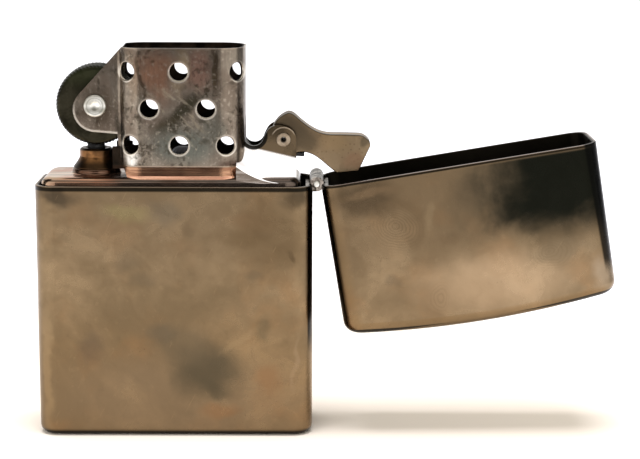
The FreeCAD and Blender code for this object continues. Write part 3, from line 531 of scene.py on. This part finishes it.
def ear_rim_highlight(g):
    """Painted highlight along the cut edge that runs round the lower half of each ear to the chimney."""
    x, z = g.axis("X"), g.axis("Z")
    round_part = g.ramp(g.reach_from(at(WHEEL_X, EAR_Z, 0.0)), 2.72, 2.82)
    round_part = g.times(round_part, g.ramp(z, 47.0, 44.6), g.ramp(x, -10.65, -10.75))
    slope = g.plus(z, g.times(g.minus(x, WHEEL_X * MM), 0.083))
    flat_part = g.times(g.ramp(slope, 42.52, 42.44), g.ramp(slope, 41.6, 41.7))
    flat_part = g.times(flat_part, g.band(x, -10.75, -10.65, -7.8, -7.6))
    return g.times(g.math("ADD", round_part, flat_part, clamp=True), 0.85)


def soot_and_shade(g):
    """1 inside the chimney, on the inner faces of the ears and on the two small tabs below them: soot
    inside, painted shade on all of it.
    """
    x, z = g.axis("X"), g.axis("Z")
    y, off_middle = g.axis("Y"), g.math("ABSOLUTE", g.axis("Y"))
    inside = g.hollow((g.minus(x, CHIMNEY_MIDDLE), y), CHIMNEY_HALF, CHIMNEY_CORNER, -1.0, 0.22 * MM)
    ears = g.times(g.ramp(x, -7.3, -7.7), g.ramp(off_middle, 2.80, 2.72))
    tabs = g.times(g.ramp(z, 40.35, 40.25), g.ramp(x, -6.1, -6.2), g.ramp(off_middle, 3.2, 3.12), 0.95)
    return g.most(g.most(inside, ears), tabs)


def chimney_skin():
    """Brushed sheet stained by heat: rusty towards the top, blue-grey towards the deck, sooty and in painted
    shade inside, with painted highlights round the draught holes, the ears' lower edges, the bend above the
    foot and the top edge.
    """
    g = Graph("chimney_metal")
    z = g.axis("Z")
    cloud = g.remap(g.noise(190, 5, distortion=0.8), 0.36, 0.66)
    brush = g.streaks((3600, 3600, 140), 4)
    g.colour = g.mix(cloud, (0.235, 0.185, 0.145), (0.33, 0.28, 0.225))
    g.stain_spots(CHIMNEY_MARKS)
    g.stain(g.remap(brush, 0.35, 0.65, 0.0, 0.22), (0.10, 0.08, 0.06))
    hairs = g.hairs(4200, 160, 0.75)
    g.stain(hairs, (0.5, 0.42, 0.33), 0.25)
    grime = g.remap(g.noise(1500, 4, distortion=0.5), 0.46, 0.63)
    g.stain(g.times(grime, g.blotches(260, 4, (0.2, 0.5, 0.9), 0.42, 0.66)), (0.055, 0.045, 0.03), 0.78)
    g.stain(g.blotches(1900, 3, (0.6, 0.1, 0.3), 0.57, 0.68), (0.62, 0.54, 0.44), 0.34)
    rubbed = g.remap(g.streaks((1900, 1900, 300), 3, 0.85), 0.54, 0.66)
    rubbed = g.times(rubbed, g.spot(at(0.5, 45.5, SHEET), size(6.5, 6.0, 2.5)))
    g.stain(rubbed, (0.48, 0.41, 0.30), 0.55)
    # Painted highlights round the draught holes, then along the ears' lower edges.
    g.stain(hole_rim_highlights(g), (0.85, 0.78, 0.68))
    g.stain(ear_rim_highlight(g), (0.85, 0.77, 0.66))
    wiped = g.remap(g.streaks((90, 900, 2400), 4), 0.4, 0.62)
    foot = g.ramp(z, CHIMNEY_FOOT_Z + 0.12, CHIMNEY_FOOT_Z)
    g.stain(foot, g.mix(wiped, (1.0, 0.58, 0.38), (0.60, 0.31, 0.20)))
    # Painted highlights at the bend above the foot and along the top edge.
    crease = [CHIMNEY_FOOT_Z + rise for rise in (-0.10, 0.02, 0.14, 0.26)]
    g.stain(g.band(z, *crease), (0.48, 0.36, 0.27), 0.7)
    g.stain(g.ramp(z, CHIMNEY_TOP_Z - 0.25, CHIMNEY_TOP_Z - 0.07), (0.46, 0.37, 0.29), 0.75)
    # Soot inside, and painted shade inside, on the ears' inner faces and on the tabs.
    deep = soot_and_shade(g)
    g.stain(deep, g.mix(g.remap(g.noise(420, 4), 0.4, 0.7), (0.012, 0.010, 0.008), (0.06, 0.04, 0.028)))
    g.rough = g.remap(cloud, 0, 1, 0.27, 0.21)
    g.roughen(deep, 0.4)
    normal = g.bump(brush, 0.12, 0.01 * MM)
    g.set(Metallic=1.0, Normal=g.bump(hairs, 0.3, -0.012 * MM, normal))
    return g.finished((0.66, 0.64, 0.60))


def cam_skin():
    """Speckled plating, dark at the pivot, with painted shade along the fold where each face turns into the
    web.
    """
    g = handled_metal("cam_metal", (0.42, 0.30, 0.18), (0.28, 0.198, 0.115), 0.3)
    g.stain_spots(CAM_MARKS)
    g.stain(g.dots(1700, 0.3, 0.12), (0.15, 0.10, 0.06), 0.4)
    off_middle = g.math("ABSOLUTE", g.axis("Y"))
    # Painted shade: near-black along the fold between each face and the web.
    outer, web = g.ramp(off_middle, 1.50, 1.54), g.ramp(off_middle, 0.95, 0.80)
    g.stain(g.math("SUBTRACT", 1.0, g.most(outer, web), clamp=True), (0.02, 0.017, 0.012), 0.92)
    head = g.ramp(g.axis("X"), 17.4, 15.4)
    g.stain(web, g.mix(head, (0.36, 0.29, 0.22), (0.15, 0.12, 0.09)), 0.85)
    g.roughen(web, 0.35)
    g.set(Metallic=g.remap(web, 0.0, 1.0, 1.0, 0.25))
    return g.finished((0.58, 0.575, 0.55))


def lug_skin():
    """Upright part stained like the cam; the swept foot painted near-white as a painted highlight, a painted
    highlight arcing round the rivet and painted shade in the saddle left of the cam.
    """
    g = Graph("lug_metal")
    x, z = g.axis("X"), g.axis("Z")
    cloud = g.remap(g.noise(260, 5, distortion=0.6), 0.36, 0.66)
    stained = g.mix(cloud, (0.055, 0.039, 0.022), (0.12, 0.084, 0.047))
    # Painted highlight: the swept foot is near-white.
    bright = g.mix(cloud, (0.97, 0.94, 0.89), (0.90, 0.85, 0.79))
    upright = g.ramp(g.along((0.227, 0.0, 0.974), at(12.06, 39.71, 0.0)), -0.18, 0.12)
    g.colour = g.mix(upright, bright, stained)
    g.stain(g.spot(at(9.2, 38.4, -4.6), size(2.2, 1.6, 3.0), 0.5), (0.20, 0.14, 0.10), 0.35)
    left_of_cam = g.math("MINIMUM", g.minus(x, CAM_X * MM), 0.0)
    crest = g.plus(g.times(left_of_cam, left_of_cam, 55.0), 35.52 * MM)
    skirt = g.ramp(g.minus(z, crest), 0.06, -0.04)
    skirt = g.times(skirt, g.ramp(g.math("ABSOLUTE", g.axis("Y")), 5.2, 5.32))
    wiped = g.remap(g.streaks((160, 900, 1600), 4), 0.4, 0.6)
    g.stain(skirt, g.mix(wiped, (0.13, 0.10, 0.075), (0.30, 0.26, 0.22)))
    # Painted highlight: a thin light arc round the rivet near the lug's top edge.
    rim = g.times(g.band(g.reach_from(CAM_AXLE), 1.56, 1.63, 1.70, 1.77), g.ramp(z, 41.6, 42.2))
    g.stain(rim, (0.48, 0.38, 0.27), 0.6)
    # Painted shade: black along the saddle's edge left of the cam.
    saddle = g.ramp(g.reach_from(at(CAM_X - 4.1, CAM_Z + 0.5, 0.0)), 1.98, 1.86)
    g.stain(saddle, BLACK, 0.95)
    g.rough = g.remap(cloud, 0, 1, 0.2, 0.28)
    dark = g.most(g.most(upright, skirt), saddle)
    g.set(Metallic=g.remap(dark, 0.0, 1.0, 0.35, 1.0), Normal=g.bump(g.noise(900, 4), 0.12, 0.01 * MM))
    return g.finished()


def mottled(name, light, dark, rough, scale, contrast=0.6, metallic=1.0, bump=0.2):
    """Small pieces: two tones in blotches with fine grain."""
    g = Graph(name)
    cloud = g.remap(g.noise(scale, 5, distortion=0.8), 0.5 - contrast / 4, 0.5 + contrast / 4)
    grain = g.noise(scale * 9, 3)
    g.colour = g.mix(cloud, dark, light)
    g.stain(g.remap(grain, 0.35, 0.7, 0.0, 0.3), dark)
    g.rough = g.remap(cloud, 0, 1, rough + 0.08, rough - 0.04)
    g.set(Metallic=metallic, Normal=g.bump(grain, bump, 0.015 * MM))
    return g


def tube_skin():
    """Tarnished brass, with painted shade at the collar's foot and blackened round its mouth."""
    g = mottled("tarnished_brass", (0.34, 0.157, 0.06), (0.13, 0.063, 0.028), 0.34, 300)
    z = g.axis("Z")
    # Painted shade towards the collar's foot, where it meets the deck.
    g.stain(g.ramp(z, 38.5, 37.5), (0.02, 0.014, 0.009), 0.85)
    g.stain(g.ramp(z, 39.3, 39.5), (0.02, 0.015, 0.01), 0.85)
    return g.finished((0.70, 0.70, 0.66))


def rivet_skin():
    """Bright wheel rivet: painted shade across its lower half, with a dirty line round its dish."""
    g = mottled("rivet_metal", (0.86, 0.84, 0.77), (0.50, 0.48, 0.41), 0.36, 500, 0.8)
    g.stain(g.band(g.reach_from(WHEEL_AXLE), 1.02, 1.08, 1.14, 1.2), (0.12, 0.11, 0.08), 0.45)
    # Painted shade: a dark band across the lower half of the head.
    g.stain(g.band(g.axis("Z"), 44.7, 45.1, 45.35, 45.8), (0.16, 0.15, 0.11), 0.6)
    return g.finished()


def cam_rivet_skin():
    """Worn tubular rivet: pale ring, dark bore and a dark line round the head."""
    g = mottled("cam_rivet_metal", (0.46, 0.37, 0.26), (0.22, 0.165, 0.11), 0.34, 700, 0.8)
    radius = g.reach_from(CAM_AXLE)
    bore = g.ramp(radius, 0.52, 0.40)
    g.stain(bore, (0.06, 0.045, 0.03), 0.85)
    g.stain(g.ramp(radius, 0.86, 0.95), (0.09, 0.066, 0.042), 0.6)
    g.rough = g.most(g.rough, g.times(bore, 0.9))
    g.set(Metallic=g.math("SUBTRACT", 1.0, bore, clamp=True))
    return g.finished()


def wheel_skin():
    """Blackened steel with a green cast towards the top."""
    g = mottled("wheel_steel", (0.066, 0.062, 0.048), (0.024, 0.023, 0.017), 0.42, 420)
    g.stain(g.ramp(g.axis("Z"), 47.5, 50.5), (0.06, 0.075, 0.04), 0.5)
    return g.finished((0.53, 0.50, 0.40))


def hinge_skin():
    """Plating worn and dark in the joints."""
    g = mottled("hinge_metal", (0.34, 0.29, 0.24), (0.04, 0.032, 0.024), 0.28, 900, 0.5, bump=0.4)
    return g.finished()


def flint_skin():
    g = mottled("flint_grey", (0.045, 0.043, 0.04), (0.02, 0.019, 0.018), 0.6, 800, metallic=0.6)
    return g.finished()


def wire_skin():
    return mottled("spring_wire", (0.42, 0.40, 0.37), (0.2, 0.19, 0.17), 0.3, 700).finished()


def leaf_skin():
    """Blackened leaf spring."""
    g = mottled("spring_steel", (0.035, 0.030, 0.026), (0.012, 0.011, 0.01), 0.5, 500, metallic=0.4)
    return g.finished()


def copper_skin():
    return mottled("copper_wire", (0.55, 0.28, 0.15), (0.25, 0.12, 0.06), 0.32, 900).finished()


rivet, brass, hinge, lug = rivet_skin(), tube_skin(), hinge_skin(), lug_skin()
SKIN = {
    "case_body": case_skin(), "lid_shell": lid_skin(), "hinge_leaf_case": hinge,
    "hinge_leaf_lid": hinge, "insert_tank": deck_skin(), "chimney": chimney_skin(),
    "wheel_rivet": rivet, "cam_rivet": cam_rivet_skin(), "hinge_pin": rivet,
    "flint_tube": brass, "flint_spring_tip": brass, "flint_screw": brass,
    "flint": flint_skin(), "flint_spring": wire_skin(),
    "cam_lever": cam_skin(), "cam_lug_front": lug, "cam_lug_rear": lug,
    "cam_spring": leaf_skin(), "wick_wire": copper_skin(),
}
for name, material in SKIN.items():
    mesh = nodes[name].data
    mesh.materials.clear()
    mesh.materials.append(material)


# ---- pieces made here ------------------------------------------------------------------------------
def placed(name, mesh):
    obj = bpy.data.objects.new(name, mesh)
    bpy.context.scene.collection.objects.link(obj)
    return obj


def piece(name, verts, faces, material, body, *stands_for, smooth=True):
    mesh = bpy.data.meshes.new(name)
    mesh.from_pydata(verts, [], faces)
    mesh.polygons.foreach_set("use_smooth", [smooth] * len(mesh.polygons))
    mesh.materials.append(material)
    mesh.update()
    obj = placed(name, mesh)
    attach(obj, body)
    if stands_for:
        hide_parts(*stands_for)


def grid_faces(rows, columns):
    """Quads of a grid that closes on itself along its columns."""
    faces = []
    for i in range(rows - 1):
        for j in range(columns):
            k = (j + 1) % columns
            faces.append((i * columns + j, i * columns + k, (i + 1) * columns + k, (i + 1) * columns + j))
    return faces


def triangle_wave(t):
    return abs((t % 1.0) - 0.5) * 2


def cut_wheel():
    """File wheel with two crossed sets of slanted V cuts, eased rims and flat sides."""
    centre, radius, half, bore = Vector(WHEEL_AXLE), 5.6 * MM, 2.5 * MM, 0.94 * MM
    teeth, depth, slant, across_count = 66, 0.26 * MM, 3.2, 40
    around_count = teeth * 8
    rim = half - 0.3 * MM
    side = [(-half, bore), (-half, 2.0 * MM), (-half, 4.3 * MM), (-half, radius - 0.75 * MM)]
    side += [(-half + 0.10 * MM, radius - 0.45 * MM)]
    profile = side + [(-rim + 2 * rim * i / across_count, radius) for i in range(across_count + 1)]
    profile += [(-y, r) for y, r in reversed(side)]
    verts = []
    for y, r in profile:
        for j in range(around_count):
            turn = j / around_count
            here = r
            if abs(y) <= rim + 1e-9:
                shift = slant * y / (2 * half)
                cut = min(triangle_wave(turn * teeth + shift), triangle_wave(turn * teeth - shift))
                ease = max(0.0, abs(y) / half - 0.78) * 1.1 * MM
                here = r - depth * (1 - cut) - ease
            angle = 2 * math.pi * turn
            verts.append(centre + Vector((here * math.cos(angle), y, here * math.sin(angle))))
    faces = grid_faces(len(profile), around_count)
    last = (len(profile) - 1) * around_count
    for j in range(around_count):
        k = (j + 1) % around_count
        faces.append((last + j, last + k, k, j))
    piece("flint_wheel_cut", verts, faces, wheel_skin(), "wheel", "flint_wheel", smooth=False)


def cloth_skin(name, light, dark, scale, char_from=None):
    """Fibrous cloth, burnt black above a height if one is given."""
    g = Graph(name)
    fibre = g.streaks((scale, scale, scale * 0.35), 5)
    lump = g.remap(g.noise(scale * 0.12, 4), 0.35, 0.65)
    g.colour = g.mix(g.remap(fibre, 0.3, 0.7), dark, light)
    g.stain(lump, dark, 0.3)
    if char_from:
        g.stain(g.ramp(g.axis("Z"), *char_from), (0.012, 0.010, 0.009))
    g.rough = 0.92
    g.set(Metallic=0.0, Normal=g.bump(fibre, 0.5, 0.05 * MM), Sheen_Weight=0.25)
    return g.finished()


def braided_wick():
    """Round braid: two crossed sets of plaited strands, burnt and loosened at the top."""
    lo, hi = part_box("wick")
    x, y, foot, height = (lo[0] + hi[0]) / 2, (lo[1] + hi[1]) / 2, lo[2], hi[2] - lo[2]
    radius, strands, columns, rows, pitch = (hi[0] - lo[0]) / 2, 8, 96, 260, 4.2 * MM
    verts = []
    for i in range(rows):
        part = i / (rows - 1)
        z = foot + height * part
        climb = (z - foot) / pitch
        tip = max(0.0, (part - 0.97) / 0.03)
        end = math.sqrt(max(0.0, 1 - tip * tip * 0.75)) * min(1.0, 0.6 + part * 40)
        for j in range(columns):
            turn = j / columns
            first = abs(math.sin(math.pi * (strands * turn + climb * 2)))
            second = abs(math.sin(math.pi * (strands * turn - climb * 2)))
            weave = max(first, second) - 0.35 * min(first, second)
            r = radius * end * (0.90 + 0.10 * min(1.0, weave))
            a = 2 * math.pi * turn
            verts.append((x + r * math.cos(a), y + r * math.sin(a), z))
    faces = grid_faces(rows, columns)
    faces.append(tuple(reversed(range(columns))))
    faces.append(tuple(range((rows - 1) * columns, rows * columns)))
    skin = cloth_skin("wick_cotton", (0.62, 0.56, 0.46), (0.34, 0.29, 0.22), 5200, (36.6, 38.6))
    piece("wick_braid", verts, faces, skin, "case", "wick")


def frayed_ends():
    """Short burnt fibres standing out of the wick's cut end: four-sided, tapering and bent."""
    lo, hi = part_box("wick")
    x, y, top = (lo[0] + hi[0]) / 2, (lo[1] + hi[1]) / 2, hi[2] - 0.5 * MM
    fibres, levels, jitter = 46, 4, 0.02 * MM
    draw = random.Random(11)
    verts, faces = [], []
    for _ in range(fibres):
        start = len(verts)
        a, r = draw.uniform(0, 2 * math.pi), draw.uniform(0.1, 1.25) * MM
        foot = Vector((x + r * math.cos(a), y + r * math.sin(a), top))
        lean = Vector((math.cos(a) * draw.uniform(-0.1, 0.35), math.sin(a) * draw.uniform(-0.1, 0.35), 1.0))
        length, thick = draw.uniform(0.25, 0.48) * MM, draw.uniform(0.05, 0.08) * MM
        for step in range(levels):
            bend = Vector((draw.uniform(-1, 1), draw.uniform(-1, 1), 0)) * jitter
            centre = foot + lean * (length * step / (levels - 1)) + bend
            w = thick * (1 - 0.22 * step)
            for k in range(4):
                b = k * math.pi / 2
                verts.append(centre + Vector((w * math.cos(b), w * math.sin(b), 0)))
        for face in grid_faces(levels, 4):
            faces.append(tuple(start + corner for corner in face))
        faces.append(tuple(range(start + 4 * (levels - 1), start + 4 * levels)))
    skin = cloth_skin("wick_burnt", (0.03, 0.026, 0.022), (0.01, 0.009, 0.008), 5200)
    piece("wick_fray", verts, faces, skin, "case")


def softened(node, name, longest, depth, seed, skin):
    """A soft filling: the node's form cut finely and drawn in unevenly, lumpy and never larger."""
    work = bmesh.new()
    work.from_mesh(nodes[node].data)
    bmesh.ops.remove_doubles(work, verts=work.verts, dist=0.001 * MM)
    bmesh.ops.triangulate(work, faces=work.faces)
    for _ in range(8):
        long_edges = [e for e in work.edges if e.calc_length() > longest]
        if not long_edges:
            break
        bmesh.ops.subdivide_edges(work, edges=long_edges, cuts=1)
        bmesh.ops.triangulate(work, faces=work.faces)
    work.normal_update()
    shift = Vector((seed, seed * 0.7, seed * 1.3))
    moves = []
    for v in work.verts:
        coarse = noise.noise(v.co / (2.6 * MM) + shift)
        fine = noise.noise(v.co / (0.7 * MM) + shift)
        moves.append(v.normal * -depth * (0.55 + 0.5 * coarse + 0.22 * fine))
    for v, move in zip(work.verts, moves):
        v.co += move
    mesh = bpy.data.meshes.new(name)
    work.to_mesh(mesh)
    work.free()
    mesh.polygons.foreach_set("use_smooth", [True] * len(mesh.polygons))
    mesh.materials.append(skin)
    obj = placed(name, mesh)
    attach(obj, "case")
    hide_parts(node)
    return obj


cut_wheel()
braided_wick()
frayed_ends()
wads = softened("cotton_packing", "cotton_wads", 1.1 * MM, 0.35 * MM, 3.0,
                cloth_skin("cotton_wool", (0.86, 0.85, 0.82), (0.70, 0.68, 0.63), 2600))
felt = softened("felt_pad", "felt_slab", 0.9 * MM, 0.14 * MM, 7.0,
                cloth_skin("pressed_felt", (0.66, 0.64, 0.59), (0.46, 0.44, 0.40), 4200))


# ---- floor, light and camera ----------------------------------------------------------------------
def facing(position, target):
    """A matrix at a position whose -Z axis points at a target."""
    direction = Vector(target) - Vector(position)
    turn = direction.to_track_quat("-Z", "Y").to_matrix().to_4x4()
    return Matrix.Translation(position) @ turn


def sheet(name, width, depth, matrix, material):
    mesh = bpy.data.meshes.new(name)
    corners = [(-width / 2, -depth / 2, 0), (width / 2, -depth / 2, 0),
               (width / 2, depth / 2, 0), (-width / 2, depth / 2, 0)]
    mesh.from_pydata(corners, [], [(0, 1, 2, 3)])
    mesh.materials.append(material)
    obj = placed(name, mesh)
    obj.matrix_world = matrix
    return obj


def paper():
    """Plain paper, white far off and a darker, warmer tone near the lighter, which deepens and warms its
    shadow there: painted shade.
    """
    g = Graph("floor_paper")
    far = g.ramp(g.vector_math("LENGTH", g.place), 58.0, 105.0)
    g.set(Base_Color=g.mix(far, (0.70, 0.625, 0.525), (0.90, 0.895, 0.90)), Roughness=0.9)
    return g.material


def card(name, width, height, position, target, colour):
    """A dark board that only reflections see."""
    g = Graph(name)
    g.set(Base_Color=colour, Roughness=0.9)
    board = sheet(name, width, height, facing(position, target), g.material)
    board.visible_camera = False
    board.visible_diffuse = False
    board.visible_shadow = False


def area_light(name, position, target, width, height, power, colour):
    data = bpy.data.lights.new(name, "AREA")
    data.shape = "RECTANGLE"
    data.size, data.size_y = width, height
    data.energy = power
    data.color = colour
    obj = placed(name, data)
    obj.matrix_world = facing(position, target)
    obj.visible_glossy = False


middle = (0.0, 0.0, 0.03)
sheet("floor", 4.0, 4.0, Matrix.Translation((0, 0, -0.02 * MM)), paper())
card("card_right", 0.34, 0.5, (0.30, 0.10, 0.20), middle, (0.01, 0.01, 0.009))
card("card_left", 0.22, 0.5, (-0.31, 0.06, 0.20), middle, (0.015, 0.013, 0.011))
card("card_front", 0.16, 0.30, (-0.02, -0.275, 0.155), (-0.02, 0.0, 0.155), (0.03, 0.026, 0.022))
area_light("overhead", (0.02, -0.05, 0.8), (0.02, 0.0, 0.0), 0.40, 0.32, 9.0, (0.95, 0.97, 1.08))
area_light("front_fill", (-0.25, -0.75, 0.45), (0.02, 0.0, 0.03), 0.8, 0.5, 4.0, (0.95, 0.98, 1.04))

world = bpy.data.worlds.new("studio")
bpy.context.scene.world = world
world.use_nodes = True
background = world.node_tree.nodes["Background"]
background.inputs["Color"].default_value = (1.0, 0.985, 0.955, 1)
background.inputs["Strength"].default_value = 1.0

CAMERA_PLACE = at(18.53, 75.72, -249.95)
CAMERA_TILT, CAMERA_HEADING, CAMERA_ROLL = 10.785, -0.359, -0.216
camera_data = bpy.data.cameras.new("camera")
camera_data.sensor_width = 36.0
camera_data.lens = 102.13
camera_data.clip_start = 0.01
camera = placed("camera", camera_data)
heading = Matrix.Rotation(math.radians(CAMERA_HEADING), 4, "Z")
tilt = Matrix.Rotation(math.radians(90 - CAMERA_TILT), 4, "X")
roll = Matrix.Rotation(math.radians(-CAMERA_ROLL), 4, "Z")
camera.matrix_world = Matrix.Translation(CAMERA_PLACE) @ heading @ tilt @ roll
bpy.context.scene.camera = camera
bpy.context.scene.view_settings.view_transform = "Standard"
